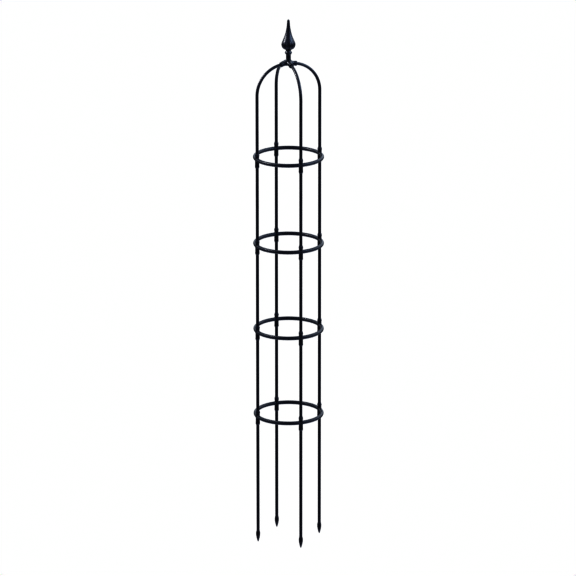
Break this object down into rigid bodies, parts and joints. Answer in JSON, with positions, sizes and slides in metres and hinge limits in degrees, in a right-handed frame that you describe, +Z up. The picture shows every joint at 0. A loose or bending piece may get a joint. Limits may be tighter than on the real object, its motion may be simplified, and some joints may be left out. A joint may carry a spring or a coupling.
{
  "type": "garden obelisk",
  "caption": "Slim round garden obelisk of black coated steel tube: ground-spiked legs joined by rings, with a domed top and a fluted teardrop finial, for climbing plants.",
  "frame": {"origin": "on the obelisk's axis, on the ground plane that the four spike tips touch", "axes": "+Z up along the obelisk's axis towards the finial; the four leg lines stand at 45, 135, 225 and 315 degrees from +X, so the open sides face +X, +Y, -X and -Y"},
  "size_m": [0.251, 0.251, 1.9331],
  "materials": {
    "coated_tube": "semi-gloss black powder coat on steel tube",
    "coated_casting": "semi-gloss black powder coat on cast aluminium",
    "spike_plastic": "black moulded nylon, satin",
    "stud_steel": "bright zinc plate"
  },
  "bodies": {
    "root": {"arch_tube_a": "coated_tube", "arch_tube_b": "coated_tube", "arch_tube_c": "coated_tube", "arch_tube_d": "coated_tube", "crown_hub": "coated_casting", "finial": "coated_casting", "finial_stud": "stud_steel", "ground_leg_a": "coated_tube", "ground_leg_b": "coated_tube", "ground_leg_c": "coated_tube", "ground_leg_d": "coated_tube", "ground_spikes": "spike_plastic", "lower_socket_1a": "coated_tube", "lower_socket_1b": "coated_tube", "lower_socket_1c": "coated_tube", "lower_socket_1d": "coated_tube", "lower_socket_2a": "coated_tube", "lower_socket_2b": "coated_tube", "lower_socket_2c": "coated_tube", "lower_socket_2d": "coated_tube", "lower_socket_3a": "coated_tube", "lower_socket_3b": "coated_tube", "lower_socket_3c": "coated_tube", "lower_socket_3d": "coated_tube", "lower_socket_4a": "coated_tube", "lower_socket_4b": "coated_tube", "lower_socket_4c": "coated_tube", "lower_socket_4d": "coated_tube", "ring_hoop_1": "coated_tube", "ring_hoop_2": "coated_tube", "ring_hoop_3": "coated_tube", "ring_hoop_4": "coated_tube", "upper_socket_1a": "coated_tube", "upper_socket_1b": "coated_tube", "upper_socket_1c": "coated_tube", "upper_socket_1d": "coated_tube", "upper_socket_2a": "coated_tube", "upper_socket_2b": "coated_tube", "upper_socket_2c": "coated_tube", "upper_socket_2d": "coated_tube", "upper_socket_3a": "coated_tube", "upper_socket_3b": "coated_tube", "upper_socket_3c": "coated_tube", "upper_socket_3d": "coated_tube", "upper_socket_4a": "coated_tube", "upper_socket_4b": "coated_tube", "upper_socket_4c": "coated_tube", "upper_socket_4d": "coated_tube", "upright_tube_1a": "coated_tube", "upright_tube_1b": "coated_tube", "upright_tube_1c": "coated_tube", "upright_tube_1d": "coated_tube", "upright_tube_2a": "coated_tube", "upright_tube_2b": "coated_tube", "upright_tube_2c": "coated_tube", "upright_tube_2d": "coated_tube", "upright_tube_3a": "coated_tube", "upright_tube_3b": "coated_tube", "upright_tube_3c": "coated_tube", "upright_tube_3d": "coated_tube"}
  },
  "joints": []
}
